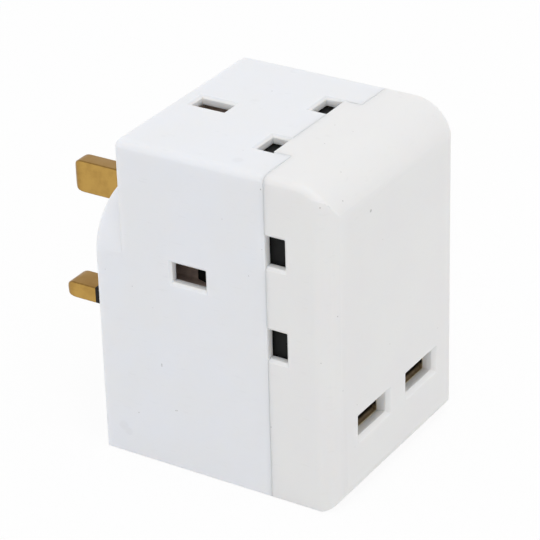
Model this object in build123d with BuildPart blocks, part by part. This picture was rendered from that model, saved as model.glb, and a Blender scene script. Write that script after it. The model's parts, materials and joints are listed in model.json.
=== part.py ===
"""A three-way mains adaptor with two USB outlets, as its separate pieces.

Millimetres, +Z up. The USB outlets face -Y, the plug's pins point along +Y, and the three
sockets are on the left side (-X), the right side (+X) and the top. The origin is the middle of
the flat base.
"""

import os

from build123d import *

os.makedirs("parts", exist_ok=True)

# Body: a rear housing with the plug's boss, closed by a moulded front cover
body_width = 52.4
body_depth = 54.2
body_height = 78.0
wall = 2.1
cover_depth = 16.7
top_front_radius = 9.6
bottom_front_radius = 5.5
left_corner_radius = 5.5
right_corner_radius = 2.5
front_flat = 0.03
side_top_radius = 1.7
rear_edge_radius = 1.3
base_edge_radius = 0.7

# Boss that stands against the wall socket
boss_projection = 6.5
boss_top = 62.4
boss_shoulder_radius = 13.2
boss_edge_radius = 0.9
boss_plate = 2.5

# Mains pins and the socket openings that take the same pins
pin_spacing = 22.225
earth_pin_width = 8.0
earth_pin_length = 22.7
line_pin_width = 6.35
line_pin_length = 17.7
pin_thickness = 4.0
pin_tip_radius = 1.8
pin_tip_bevel = 0.9
pin_head_depth = 2.0
pin_head_margin = 1.3
pin_edge_radius = 0.35
plug_pin_height = 30.7
sleeve_length = 9.5
sleeve_wall = 0.6
pin_fit = 0.05

# Socket openings
side_socket_drop = 28.5
top_tongue_depth = 4.35
top_tongue_width = 29.6
line_slot_length = 7.1
line_slot_width = 4.6
earth_slot_length = 8.6
earth_slot_width = 4.7
mouth_chamfer = 0.65
slot_offset = 0.15

# Shutters
shutter_gap = 0.3
shutter_thickness = 1.8
shutter_travel = 5.8
shutter_overlap = 0.75
shutter_bar_setback = 2.15
shutter_stem_width = 4.0
ramp_width = 7.2
ramp_drop = 2.4
ramp_clear_depth = 4.3
shutter_nose_chamfer = 1.0
shutter_pin_clearance = 0.65
slot_margin = 0.3
ramp_shoulder = 3.0
ramp_nose = 0.4
spring_radius = 1.0
spring_wire_radius = 0.18
spring_turns = 5
spring_length = 7.7
spring_depth = 3.4
spring_seat_width = 5.0
guide_rib = 1.2
guide_rib_length = 16.0

# Contact clips, bus bars and the plate that keeps live and neutral apart
strip = 0.8
grip_gap = 3.6
clip_flare = 2.1
clip_bend = 0.9
line_clip_width = 6.0
line_clip_mouth = 6.6
earth_clip_mouth = 3.2
earth_clip_throat = 6.9
earth_flare_step = 1.6
earth_clip_reach = {"left": 4.6, "right": 4.6, "top": 1.4}
tip_room = 0.5
bar_width = 6.0
bar_setback = 3.45
earth_arm_height = 4.0
carrier_plate = 1.4
carrier_clearance = 0.3
carrier_bottom = 33.0
carrier_plate_width = 31.0
carrier_plate_height = 31.5
carrier_corner_radius = 1.5
board_tab_width = 3.0

# Fuse and its carrier
fuse_length = 25.4
fuse_cap_radius = 3.175
fuse_cap_length = 5.6
fuse_body_radius = 2.95
carrier_width = 30.0
carrier_height = 9.4
carrier_face = 2.2
cradle_width = 13.0
cradle_lip = 1.0
carrier_notch_width = 9.0
carrier_notch_depth = 1.5
sliding_clearance = 0.3
clip_clearance = 0.1
fuse_clip_width = 5.0

# USB outlets and their circuit board
usb_spacing = 21.0
usb_offset = 0.65
usb_height = 17.45
usb_inner_width = 12.2
usb_inner_height = 4.7
usb_shell_wall = 0.2
usb_recess_depth = 3.0
usb_bevel = 0.95
usb_shell_hold = 1.2
usb_shell_length = 13.6
usb_collar_margin = 2.0
tongue_width = 11.1
tongue_thickness = 1.84
tongue_setback = 0.9
tongue_base = 1.6
contact_width = 1.0
contact_thickness = 0.2
contact_offsets = (-3.5, -1.0, 1.0, 3.5)
board_thickness = 1.6
board_clearance = 0.3
board_rear = 14.0
board_ledge = 2.5
ledge_y = -3.0
ledge_length = 32.0
transformer_y = 4.0
core_width = 16.0
core_height = 12.5
core_depth = 5.0
core_leg = 1.8
winding_depth = 10.0
winding_radius = 2.0
capacitor_x = 15.5
capacitor_radius = 4.0
capacitor_height = 11.5
chip_y = -5.0
chip_length = 6.0
chip_width = 5.0
chip_height = 1.7

# Housing screws
screw_radius = 1.45
screw_length = 14.0
screw_head_radius = 2.7
screw_head_height = 1.8
screw_cross = 0.7
screw_seat = 6.0
screw_edge = 3.2
screw_low_gap = 1.7
screw_high_gap = 2.4
pillar_radius = 3.9
screw_clearance = 0.15
thread_clearance = 0.05

# Places worked out from the sizes above
half_width = body_width / 2
front_y = -body_depth / 2
rear_y = body_depth / 2
form_depth = body_depth + front_flat
parting_y = front_y + cover_depth
boss_y = rear_y + boss_projection
boss_inner_y = boss_y - boss_plate
inner_half_width = half_width - wall
inner_front_y = front_y - front_flat + wall
inner_top = body_height - wall
line_pin_offset = pin_spacing / 2
side_line_y = parting_y - line_slot_width / 2 - slot_offset
tongue_y = parting_y + top_tongue_depth
top_line_y = tongue_y + line_slot_width / 2 + slot_offset
side_socket_height = body_height - side_socket_drop
usb_opening_width = usb_inner_width + 2 * usb_shell_wall
usb_opening_height = usb_inner_height + 2 * usb_shell_wall
usb_places = {"left": usb_offset - usb_spacing / 2, "right": usb_offset + usb_spacing / 2}
usb_openings = [(x, usb_height) for x in usb_places.values()]
board_top = usb_height - usb_opening_height / 2
plug_earth_height = plug_pin_height + pin_spacing
fuse_height = (plug_pin_height + pin_thickness / 2 + plug_earth_height - earth_pin_width / 2) / 2
shell_front_y = front_y + usb_recess_depth

# Each socket has its own plane on the outer surface: local X runs from live to neutral, local Y
# towards the earth slot, and the normal points into the body
socket_planes = {
    "left": Plane((-half_width, side_line_y, side_socket_height), x_dir=(0, 0, -1), z_dir=(1, 0, 0)),
    "right": Plane((half_width, side_line_y, side_socket_height), x_dir=(0, 0, 1), z_dir=(-1, 0, 0)),
    "top": Plane((0, top_line_y, body_height), x_dir=(-1, 0, 0), z_dir=(0, 0, -1)),
}
screw_places = [
    (side * (inner_half_width - screw_edge), height)
    for side in (-1, 1)
    for height in (wall + screw_edge + screw_low_gap, inner_top - screw_edge - screw_high_gap)
]


def save(builder, name):
    """Label a finished piece and write it."""
    builder.part.label = name
    export_step(builder.part, f"parts/{name}.step")


def point_on(plane, x, y, z=0.0):
    """A point given in a plane's own axes."""
    return plane.from_local_coords(Vector(x, y, z))


def body_form(inset=0.0):
    """The rounded block of the body, or the hollow inside it when inset by the wall."""
    with BuildPart() as form:
        with BuildSketch(Plane.YZ) as side_profile:
            with Locations((rear_y - inset, inset)):
                Rectangle(form_depth - 2 * inset, body_height - 2 * inset, align=(Align.MAX, Align.MIN))
            upper_front = side_profile.vertices().group_by(Axis.Y)[-1].sort_by(Axis.X)[0]
            fillet(upper_front, top_front_radius - inset)
        extrude(amount=half_width - inset, both=True)
        if inset == 0:
            fillet(form.edges().filter_by(Axis.Y).group_by(Axis.Z)[-1], side_top_radius)
        with BuildSketch(Plane.YZ) as lower_profile:
            with Locations((rear_y - inset, inset)):
                Rectangle(form_depth - 2 * inset, body_height, align=(Align.MAX, Align.MIN))
            lower_front = lower_profile.vertices().group_by(Axis.X)[0].sort_by(Axis.Y)[0]
            fillet(lower_front, bottom_front_radius - inset)
        extrude(amount=half_width, both=True, mode=Mode.INTERSECT)
        with BuildSketch(Plane.XY) as plan:
            with Locations((0, rear_y - inset)):
                Rectangle(body_width - 2 * inset, form_depth - 2 * inset, align=(Align.CENTER, Align.MAX))
            left_corner = plan.vertices().group_by(Axis.Y)[0].sort_by(Axis.X)[0]
            fillet(left_corner, left_corner_radius - inset)
            right_corner = plan.vertices().group_by(Axis.Y)[0].sort_by(Axis.X)[-1]
            fillet(right_corner, right_corner_radius - inset)
        extrude(amount=body_height, mode=Mode.INTERSECT)
        if inset == 0:
            fillet(form.faces().sort_by(Axis.Y)[-1].edges(), rear_edge_radius)
    return form.part


def boss_block(inset, back, front):
    """The boss's outline, inset from its edge, from one depth to another."""
    with BuildPart() as block:
        with BuildSketch(Plane.XZ.offset(-front)) as outline:
            with Locations((0, inset)):
                Rectangle(body_width - 2 * inset, boss_top - 2 * inset, align=(Align.CENTER, Align.MIN))
            fillet(outline.vertices().group_by(Axis.Y)[-1], boss_shoulder_radius - inset)
        extrude(amount=front - back)
    return block.part


def slot_cutter(plane, places, length, width):
    """Openings through a wall, with a chamfered mouth on the outer surface."""
    with BuildPart() as cutter:
        with BuildSketch(plane):
            with Locations(*places):
                Rectangle(length, width)
        extrude(amount=wall + shutter_gap)
        with BuildSketch(plane):
            with Locations(*places):
                Rectangle(length + 2 * mouth_chamfer, width + 2 * mouth_chamfer)
        extrude(amount=mouth_chamfer, taper=45)
    return cutter.part


def line_slot_cutter(name):
    """The live and neutral openings of a socket. They lie against the other moulding's edge."""
    shift = -slot_offset if name == "top" else slot_offset
    places = [(-line_pin_offset, shift), (line_pin_offset, shift)]
    return slot_cutter(socket_planes[name], places, line_slot_length, line_slot_width)


def guide_ribs(name):
    """Two ribs inside the wall that the shutter slides between."""
    end = line_pin_offset + line_slot_length / 2 + shutter_overlap + shutter_gap + guide_rib / 2
    with BuildPart() as ribs:
        with BuildSketch(socket_planes[name].offset(wall)):
            with Locations((-end, 0), (end, 0)):
                Rectangle(guide_rib, guide_rib_length)
        extrude(amount=shutter_gap + shutter_thickness)
    return ribs.part


def spring_seat(name):
    """The rib in the front cover that a shutter's spring bears on."""
    rest = shutter_bar_setback - line_slot_width / 2 - slot_margin - spring_length
    with BuildPart() as seat:
        with BuildSketch(socket_planes[name].offset(wall)):
            with Locations((0, rest)):
                Rectangle(spring_seat_width, guide_rib, align=(Align.CENTER, Align.MAX))
        extrude(amount=spring_depth + spring_radius - wall + spring_wire_radius)
    return seat.part


def pillars(start_y, end_y):
    """The four screw pillars, each with a web to the side wall."""
    with BuildPart() as posts:
        with BuildSketch(Plane.XZ.offset(-end_y)):
            with Locations(*screw_places):
                Circle(pillar_radius)
            for x, z in screw_places:
                side = 1 if x > 0 else -1
                with Locations((x + side * pillar_radius / 2, z)):
                    Rectangle(pillar_radius + wall, pillar_radius)
        extrude(amount=end_y - start_y)
        add(outer_form, mode=Mode.INTERSECT)
    return posts.part


outer_form = body_form()
cavity_form = body_form(wall)
parting_plane = Plane.XZ.offset(-parting_y)

# Both mouldings as one closed shell, before they are parted. The rounds run out a hair beyond the
# front, and the envelope that rounds the base's edges also cuts the front's flat clean across them
with BuildPart() as mouldings:
    add(outer_form)
    add(boss_block(0, rear_y - 2 * rear_edge_radius, boss_y))
    fillet(mouldings.faces().sort_by(Axis.Y)[-1].edges(), boss_edge_radius)
    with BuildSketch(Plane.XZ.offset(-front_y)) as envelope:
        Rectangle(body_width, body_height + wall, align=(Align.CENTER, Align.MIN))
        fillet(envelope.vertices().group_by(Axis.Y)[0], base_edge_radius)
    extrude(amount=-(body_depth + boss_projection), mode=Mode.INTERSECT)
    add(cavity_form, mode=Mode.SUBTRACT)
    add(boss_block(wall, rear_y - 2 * wall, boss_inner_y), mode=Mode.SUBTRACT)
    for socket_name in socket_planes:
        add(guide_ribs(socket_name))
        add(spring_seat(socket_name))
    ledge_x = inner_half_width - board_ledge / 2
    with BuildSketch(Plane.XY.offset(board_top - board_thickness)):
        with Locations((-ledge_x, ledge_y), (ledge_x, ledge_y)):
            Rectangle(board_ledge + wall, ledge_length)
    extrude(amount=-board_ledge)

# Front cover
tongue_block_centre = (parting_y + tongue_y) / 2
with BuildPart() as top_tongue:
    with BuildSketch(Plane.XY.offset(inner_top)):
        with Locations((0, tongue_block_centre)):
            Rectangle(top_tongue_width, top_tongue_depth)
    extrude(amount=wall)

with BuildPart() as front_cover:
    add(mouldings.part)
    split(bisect_by=parting_plane, keep=Keep.TOP)
    add(top_tongue.part)
    add(pillars(parting_y - screw_length + screw_seat - screw_head_height, parting_y))
    with BuildSketch(Plane.XZ.offset(-inner_front_y)):
        with Locations(*usb_openings):
            Rectangle(usb_opening_width + 2 * usb_collar_margin, usb_opening_height + 2 * usb_collar_margin)
    extrude(amount=inner_front_y - shell_front_y - usb_shell_hold)
    for socket_name in ("left", "right"):
        add(line_slot_cutter(socket_name), mode=Mode.SUBTRACT)
    with BuildSketch(Plane.XZ.offset(-front_y)):
        with Locations(*usb_openings):
            Rectangle(usb_opening_width, usb_opening_height)
    extrude(amount=-usb_recess_depth - usb_shell_hold, mode=Mode.SUBTRACT)
    with BuildSketch(Plane.XZ.offset(-front_y)):
        with Locations(*usb_openings):
            Rectangle(usb_opening_width + 2 * usb_bevel, usb_opening_height + 2 * usb_bevel)
    extrude(amount=-usb_bevel, taper=45, mode=Mode.SUBTRACT)
    with BuildSketch(parting_plane):
        with Locations(*screw_places):
            Circle(screw_radius + thread_clearance)
    extrude(amount=screw_length - screw_seat + screw_clearance, mode=Mode.SUBTRACT)
save(front_cover, "front_cover")

# Rear housing
with BuildPart() as rear_housing:
    add(mouldings.part)
    split(bisect_by=parting_plane, keep=Keep.BOTTOM)
    add(top_tongue.part, mode=Mode.SUBTRACT)
    add(pillars(parting_y, rear_y))
    with BuildSketch(Plane.XZ.offset(-boss_inner_y)):
        with Locations(*[place for place in screw_places if place[1] < boss_top / 2]):
            Circle(pillar_radius)
    extrude(amount=boss_inner_y - rear_y + wall)
    add(line_slot_cutter("top"), mode=Mode.SUBTRACT)
    for plane in socket_planes.values():
        earth_slot = slot_cutter(plane, [(0, pin_spacing)], earth_slot_width, earth_slot_length)
        add(earth_slot, mode=Mode.SUBTRACT)
    with BuildSketch(parting_plane):
        with Locations(*screw_places):
            Circle(screw_radius + screw_clearance)
    extrude(amount=-screw_seat, mode=Mode.SUBTRACT)
    with BuildSketch(parting_plane.offset(-screw_seat)):
        with Locations(*screw_places):
            Circle(screw_head_radius + screw_clearance)
    extrude(amount=-body_depth, mode=Mode.SUBTRACT)
    with BuildSketch(Plane.XZ.offset(-boss_inner_y)):
        with Locations((-line_pin_offset, plug_pin_height), (line_pin_offset, plug_pin_height)):
            Rectangle(line_pin_width + 2 * pin_fit, pin_thickness + 2 * pin_fit)
        with Locations((0, plug_earth_height)):
            Rectangle(pin_thickness + 2 * pin_fit, earth_pin_width + 2 * pin_fit)
        with Locations((0, fuse_height)):
            Rectangle(carrier_width + 2 * sliding_clearance, carrier_height + 2 * sliding_clearance)
    extrude(amount=-boss_plate, mode=Mode.SUBTRACT)
save(rear_housing, "rear_housing")

# Screws
with BuildPart() as housing_screws:
    seat_y = parting_y + screw_seat
    with BuildSketch(Plane.XZ.offset(-seat_y)):
        with Locations(*screw_places):
            Circle(screw_radius)
    extrude(amount=screw_length)
    with BuildSketch(Plane.XZ.offset(-seat_y)):
        with Locations(*screw_places):
            Circle(screw_head_radius)
    extrude(amount=-screw_head_height)
    fillet(housing_screws.edges().filter_by(GeomType.CIRCLE).group_by(Axis.Y)[-1], screw_head_height / 3)
    with BuildSketch(Plane.XZ.offset(-seat_y - screw_head_height)):
        with Locations(*screw_places):
            Rectangle(screw_radius * 2, screw_cross)
            Rectangle(screw_cross, screw_radius * 2)
    extrude(amount=screw_head_height * 2 / 3, mode=Mode.SUBTRACT)
save(housing_screws, "housing_screws")


def mains_pin(x, z, width, thickness, length, neck):
    """A brass pin with a bevelled tip and a head behind the boss plate."""
    with BuildPart() as pin:
        with BuildSketch(Plane.XZ.offset(-boss_inner_y)):
            with Locations((x, z)):
                Rectangle(width, thickness)
        extrude(amount=-(boss_plate + length))
        tip = pin.faces().sort_by(Axis.Y)[-1]
        fillet(tip.edges().filter_by(Axis.X), pin_tip_radius)
        tip = pin.faces().sort_by(Axis.Y)[-1]
        chamfer(tip.edges().filter_by(Axis.Z), pin_tip_bevel)
        if neck:
            with BuildSketch(Plane.XZ.offset(-boss_inner_y)):
                with Locations((x, z)):
                    Rectangle(width, thickness)
                    Rectangle(width - 2 * sleeve_wall, thickness - 2 * sleeve_wall, mode=Mode.SUBTRACT)
            extrude(amount=-(boss_plate + sleeve_length), mode=Mode.SUBTRACT)
        with BuildSketch(Plane.XZ.offset(-boss_inner_y)):
            with Locations((x, z)):
                Rectangle(width + 2 * pin_head_margin, thickness + 2 * pin_head_margin)
        extrude(amount=pin_head_depth)
    return pin


def pin_sleeve(x):
    """The moulded insulation round the root of a live or neutral pin."""
    with BuildPart() as sleeve:
        with BuildSketch(Plane.XZ.offset(-boss_inner_y)):
            with Locations((x, plug_pin_height)):
                RectangleRounded(line_pin_width, pin_thickness, pin_edge_radius)
                Rectangle(
                    line_pin_width - 2 * sleeve_wall, pin_thickness - 2 * sleeve_wall, mode=Mode.SUBTRACT
                )
        extrude(amount=-(boss_plate + sleeve_length))
    return sleeve


earth_pin = mains_pin(0, plug_earth_height, pin_thickness, earth_pin_width, earth_pin_length, False)
save(earth_pin, "earth_pin")
for pin_name, pin_x in {"live": line_pin_offset, "neutral": -line_pin_offset}.items():
    line_pin = mains_pin(pin_x, plug_pin_height, line_pin_width, pin_thickness, line_pin_length, True)
    save(line_pin, f"{pin_name}_pin")
    save(pin_sleeve(pin_x), f"{pin_name}_pin_sleeve")


def contact_clip(plane, x, y, grip, mouth, base, width, lips=()):
    """A folded spring clip with a flared mouth; grip is the direction in which it pinches, and
    lips are further points, from the outside in, that a wider flare passes through."""
    profile_plane = Plane(point_on(plane, x, y), x_dir=grip, z_dir=grip.cross(plane.z_dir))
    leaf = (grip_gap + strip) / 2
    web = base - strip / 2
    with BuildPart() as clip:
        with BuildSketch(profile_plane):
            with BuildLine():
                FilletPolyline(
                    *[(-leaf - clip_flare - side, depth) for side, depth in lips],
                    (-leaf - clip_flare, mouth),
                    (-leaf, mouth + clip_flare),
                    (-leaf, web),
                    (leaf, web),
                    (leaf, mouth + clip_flare),
                    (leaf + clip_flare, mouth),
                    *[(leaf + clip_flare + side, depth) for side, depth in reversed(lips)],
                    radius=clip_bend,
                )
            trace(line_width=strip)
        extrude(amount=width / 2, both=True)
    return clip


line_clip_base = line_pin_length + tip_room + strip
earth_clip_bases = {
    "left": half_width - strip / 2,
    "right": half_width - strip / 2,
    "top": earth_pin_length + tip_room + strip,
}
for socket_name, plane in socket_planes.items():
    for line_name, line_x in {"live": -line_pin_offset, "neutral": line_pin_offset}.items():
        clip = contact_clip(plane, line_x, 0, plane.y_dir, line_clip_mouth, line_clip_base, line_clip_width)
        save(clip, f"{socket_name}_{line_name}_clip")
    reach = earth_clip_reach[socket_name]
    clip = contact_clip(
        plane,
        0,
        pin_spacing + reach / 2,
        plane.x_dir,
        earth_clip_throat,
        earth_clip_bases[socket_name],
        earth_pin_width + reach,
        ((earth_flare_step, earth_clip_mouth), (0, earth_clip_mouth + earth_flare_step)),
    )
    save(clip, f"{socket_name}_earth_clip")

# Bus bars. The live and neutral webs are mirror images with the carrier plate between them
clip_x = half_width - line_clip_base
upper_z = side_socket_height + line_pin_offset
lower_z = side_socket_height - line_pin_offset
cross_z = side_socket_height + bar_width / 2 + strip
top_tab_z = body_height - line_clip_base - strip / 2
live_y = side_line_y + bar_setback
neutral_y = live_y + strip + carrier_plate
clip_reach = grip_gap / 2 + strip
pin_head_y = boss_inner_y - pin_head_depth
fuse_y = boss_y - carrier_face - fuse_cap_radius
fuse_tab_y = fuse_y - fuse_cap_radius - sliding_clearance - strip
live_arm_z = cross_z - bar_width * 1.5 - strip


def line_bar(side, web_y):
    """A live or neutral bus bar; side is -1 where its upper tab meets the left socket's clip."""
    with BuildPart() as bar:
        with BuildSketch(Plane.XZ.offset(-web_y)):
            with Locations((side * (clip_x - bar_width / 2), (upper_z + cross_z) / 2)):
                Rectangle(bar_width, upper_z - cross_z + bar_width)
            with Locations((-side * (clip_x - bar_width / 2), (lower_z + cross_z) / 2)):
                Rectangle(bar_width, cross_z - lower_z + bar_width)
            with Locations((0, cross_z)):
                Rectangle(pin_spacing + bar_width, bar_width)
            with Locations((-side * line_pin_offset, (cross_z + top_tab_z) / 2)):
                Rectangle(bar_width, top_tab_z - cross_z + strip)
        extrude(amount=-strip)
        tab_y = (side_line_y - clip_reach + web_y) / 2
        for tab_side, tab_z in ((side, upper_z), (-side, lower_z)):
            with Locations((tab_side * (clip_x - strip / 2), tab_y, tab_z)):
                Box(strip, web_y - side_line_y + clip_reach, bar_width)
        with Locations((-side * line_pin_offset, (web_y + top_line_y + clip_reach) / 2, top_tab_z)):
            Box(bar_width, top_line_y + clip_reach - web_y, strip)
    return bar.part


def feed_arm(web_y, end_y, arm_z, tab_centre_z):
    """The arm of a bus bar that reaches back to the neutral pin or the fuse, with its end tab."""
    with BuildPart() as arm:
        with Locations((-line_pin_offset, (web_y + end_y) / 2, arm_z)):
            Box(bar_width, end_y - web_y, strip)
        with Locations((-line_pin_offset, end_y - strip / 2, tab_centre_z)):
            Box(bar_width, strip, bar_width)
    return arm.part


with BuildPart() as live_bus_bar:
    add(line_bar(-1, live_y))
    with BuildSketch(Plane.XZ.offset(-live_y)):
        with Locations((-line_pin_offset, (live_arm_z + cross_z) / 2)):
            Rectangle(bar_width, cross_z - live_arm_z + strip)
        with Locations((clip_x - bar_width / 2, (board_top + lower_z) / 2)):
            Rectangle(board_tab_width, lower_z - board_top)
    extrude(amount=-strip)
    add(feed_arm(live_y, fuse_tab_y, live_arm_z, live_arm_z + strip / 2 - bar_width / 2))
save(live_bus_bar, "live_bus_bar")

with BuildPart() as neutral_bus_bar:
    add(line_bar(1, neutral_y))
    with BuildSketch(Plane.XZ.offset(-neutral_y)):
        foot_z = plug_pin_height - strip / 2
        foot_left = -line_pin_offset - bar_width / 2
        foot_right = bar_width - clip_x
        with Locations(((foot_left + foot_right) / 2, foot_z)):
            Rectangle(foot_right - foot_left, bar_width, align=(Align.CENTER, Align.MIN))
        with Locations((bar_width / 2 - clip_x, foot_z)):
            Rectangle(bar_width, lower_z - foot_z, align=(Align.CENTER, Align.MIN))
        with Locations((bar_width / 2 - clip_x, board_top)):
            Rectangle(board_tab_width, foot_z - board_top, align=(Align.CENTER, Align.MIN))
    extrude(amount=-strip)
    add(feed_arm(neutral_y, pin_head_y, plug_pin_height, plug_pin_height))
save(neutral_bus_bar, "neutral_bus_bar")

with BuildPart() as contact_carrier:
    with BuildSketch(Plane.XZ.offset(-neutral_y)) as plate:
        with Locations((0, carrier_bottom)):
            Rectangle(carrier_plate_width, carrier_plate_height, align=(Align.CENTER, Align.MIN))
        fillet(plate.vertices(), carrier_corner_radius)
        tab_long = bar_width + 2 * carrier_clearance
        tab_short = strip + 2 * carrier_clearance
        with Locations((clip_x - strip / 2, upper_z), (-clip_x + strip / 2, lower_z)):
            Rectangle(tab_short, tab_long, mode=Mode.SUBTRACT)
        with Locations((line_pin_offset, top_tab_z), (-line_pin_offset, live_arm_z)):
            Rectangle(tab_long, tab_short, mode=Mode.SUBTRACT)
    extrude(amount=carrier_plate)
save(contact_carrier, "contact_carrier")

# Earth bar: one upright plate on the middle plane, with an end tab against the earth pin's head
earth_rear_y = side_line_y + pin_spacing
earth_top_y = top_line_y + pin_spacing
top_web_z = body_height - earth_clip_bases["top"]
with BuildPart() as earth_bus_bar:
    with BuildSketch(Plane.YZ):
        front_end = earth_rear_y - earth_pin_width / 2
        rear_end = fuse_tab_y - strip
        bar_low = side_socket_height - grip_gap / 2
        bar_high = top_web_z - strip
        arm_low = plug_earth_height - earth_pin_width / 2
        with Locations((front_end, bar_low)):
            Rectangle(rear_end - front_end, bar_high - bar_low, align=(Align.MIN, Align.MIN))
        with Locations((rear_end - bar_width, arm_low)):
            Rectangle(pin_head_y - strip - rear_end + bar_width, earth_arm_height, align=(Align.MIN, Align.MIN))
            Rectangle(bar_width, bar_high - arm_low, align=(Align.MIN, Align.MIN))
        with Locations((earth_top_y, top_web_z)):
            Rectangle(earth_pin_width, 2 * strip, align=(Align.CENTER, Align.MAX))
    extrude(amount=strip / 2, both=True)
    with Locations((0, pin_head_y - strip / 2, plug_earth_height)):
        Box(bar_width, strip, earth_pin_width)
save(earth_bus_bar, "earth_bus_bar")

# Fuse, its clips and the carrier that draws it out of the boss
fuse_clip_x = (fuse_length - fuse_cap_length) / 2
with BuildPart() as fuse_body:
    with BuildSketch(Plane.YZ):
        with Locations((fuse_y, fuse_height)):
            Circle(fuse_body_radius)
    extrude(amount=fuse_length / 2 - fuse_cap_length, both=True)
save(fuse_body, "fuse_body")

with BuildPart() as fuse_caps:
    for side in (-1, 1):
        with BuildSketch(Plane.YZ.offset(side * fuse_length / 2)):
            with Locations((fuse_y, fuse_height)):
                Circle(fuse_cap_radius)
        extrude(amount=-side * fuse_cap_length)
    ends = fuse_caps.edges().filter_by(GeomType.CIRCLE).group_by(Axis.X)
    fillet(ends[0] + ends[-1], pin_edge_radius)
save(fuse_caps, "fuse_caps")

for pin_name, side in {"live": 1, "neutral": -1}.items():
    clip_name = "fuse_supply_clip" if pin_name == "live" else "fuse_load_clip"
    with BuildPart() as fuse_clip:
        with BuildSketch(Plane.YZ.offset(side * fuse_clip_x)):
            leaf_z = fuse_cap_radius + clip_clearance + strip / 2
            with BuildLine():
                FilletPolyline(
                    (fuse_y + fuse_cap_radius / 3, fuse_height - leaf_z),
                    (fuse_tab_y + strip / 2, fuse_height - leaf_z),
                    (fuse_tab_y + strip / 2, fuse_height + leaf_z),
                    (fuse_y + fuse_cap_radius / 3, fuse_height + leaf_z),
                    radius=clip_bend,
                )
            trace(line_width=strip)
        extrude(amount=fuse_clip_width / 2, both=True)
    save(fuse_clip, clip_name)

with BuildPart() as fuse_link:
    with BuildSketch(Plane.YZ.offset(line_pin_offset)):
        link_z = fuse_height - fuse_cap_radius - clip_clearance - 1.5 * strip
        with BuildLine():
            FilletPolyline(
                (pin_head_y - strip / 2, plug_pin_height - bar_width / 2),
                (pin_head_y - strip / 2, link_z),
                (fuse_tab_y, link_z),
                radius=clip_bend,
            )
        trace(line_width=strip)
    extrude(amount=bar_width / 2, both=True)
save(fuse_link, "fuse_link")

with BuildPart() as fuse_carrier:
    with BuildSketch(Plane.XZ.offset(-boss_y)):
        with Locations((0, fuse_height)):
            Rectangle(carrier_width, carrier_height)
    extrude(amount=carrier_face)
    fillet(fuse_carrier.edges().filter_by(Axis.Y), pin_edge_radius)
    with BuildSketch(Plane.XZ.offset(-boss_y + carrier_face)):
        with Locations((0, fuse_height)):
            Rectangle(cradle_width, carrier_height)
    extrude(amount=fuse_cap_radius + cradle_lip)
    with BuildSketch(Plane.YZ):
        with Locations((fuse_y, fuse_height)):
            Circle(fuse_body_radius + pin_fit)
    extrude(amount=cradle_width, both=True, mode=Mode.SUBTRACT)
    with BuildSketch(Plane.XZ.offset(-boss_y)):
        with Locations((0, fuse_height + carrier_height / 2)):
            SlotOverall(carrier_notch_width, carrier_notch_depth * 2)
    extrude(amount=carrier_face / 2, mode=Mode.SUBTRACT)
save(fuse_carrier, "fuse_carrier")

# Shutters, their springs and the ribs they bear on
blade_front = -line_slot_width / 2 - slot_margin
blade_rear = shutter_travel - pin_thickness / 2 - shutter_pin_clearance
bar_front = blade_front + shutter_bar_setback
shutter_top = wall + shutter_gap
shutter_bottom = shutter_top + shutter_thickness
ramp_start = pin_spacing - earth_slot_length / 2 - slot_margin
ramp_end = pin_spacing - earth_pin_width / 2 + shutter_travel - slot_margin


def across(plane, x):
    """The plane through a point of a socket that shows local Y and the depth below the surface."""
    return Plane(point_on(plane, x, 0), x_dir=plane.y_dir, z_dir=plane.y_dir.cross(plane.z_dir))


def shutter(plane):
    """A sprung plate with two blades behind the line slots and a ramp below the earth slot."""
    with BuildPart() as plate:
        for x in (-line_pin_offset, line_pin_offset):
            with BuildSketch(across(plane, x)):
                with BuildLine():
                    Polyline(
                        (blade_front + shutter_nose_chamfer, shutter_top),
                        (blade_rear, shutter_top),
                        (blade_rear, shutter_bottom),
                        (blade_front, shutter_bottom),
                        (blade_front, shutter_top + shutter_nose_chamfer),
                        close=True,
                    )
                make_face()
            extrude(amount=line_slot_length / 2 + shutter_overlap, both=True)
        with BuildSketch(plane.offset(shutter_top)):
            with Locations((0, (bar_front + blade_rear) / 2)):
                Rectangle(pin_spacing, blade_rear - bar_front)
            with Locations((0, (blade_rear + ramp_start) / 2)):
                Rectangle(shutter_stem_width, ramp_start - blade_rear)
        extrude(amount=shutter_thickness)
        with BuildSketch(across(plane, 0)):
            with BuildLine():
                Polyline(
                    (ramp_start - ramp_shoulder, shutter_top),
                    (ramp_start, shutter_top),
                    (ramp_start, ramp_clear_depth),
                    (ramp_end, ramp_clear_depth + ramp_drop - ramp_nose),
                    (ramp_end, ramp_clear_depth + ramp_drop),
                    (ramp_start - ramp_shoulder, shutter_bottom),
                    close=True,
                )
            make_face()
        extrude(amount=ramp_width / 2, both=True)
    return plate


def shutter_spring(plane):
    """The small compression spring between a shutter and its rib in the front cover."""
    start = point_on(plane, 0, bar_front, spring_depth)
    direction = -plane.y_dir
    with BuildPart() as spring:
        with BuildLine() as coil:
            Helix(
                pitch=spring_length / spring_turns,
                height=spring_length - 2 * spring_wire_radius,
                radius=spring_radius,
                center=start + direction * spring_wire_radius,
                direction=direction,
            )
        with BuildSketch(Plane(coil.line @ 0, z_dir=coil.line % 0)):
            Circle(spring_wire_radius)
        sweep()
    return spring


for socket_name, plane in socket_planes.items():
    save(shutter(plane), f"{socket_name}_shutter")
    save(shutter_spring(plane), f"{socket_name}_shutter_spring")

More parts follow.
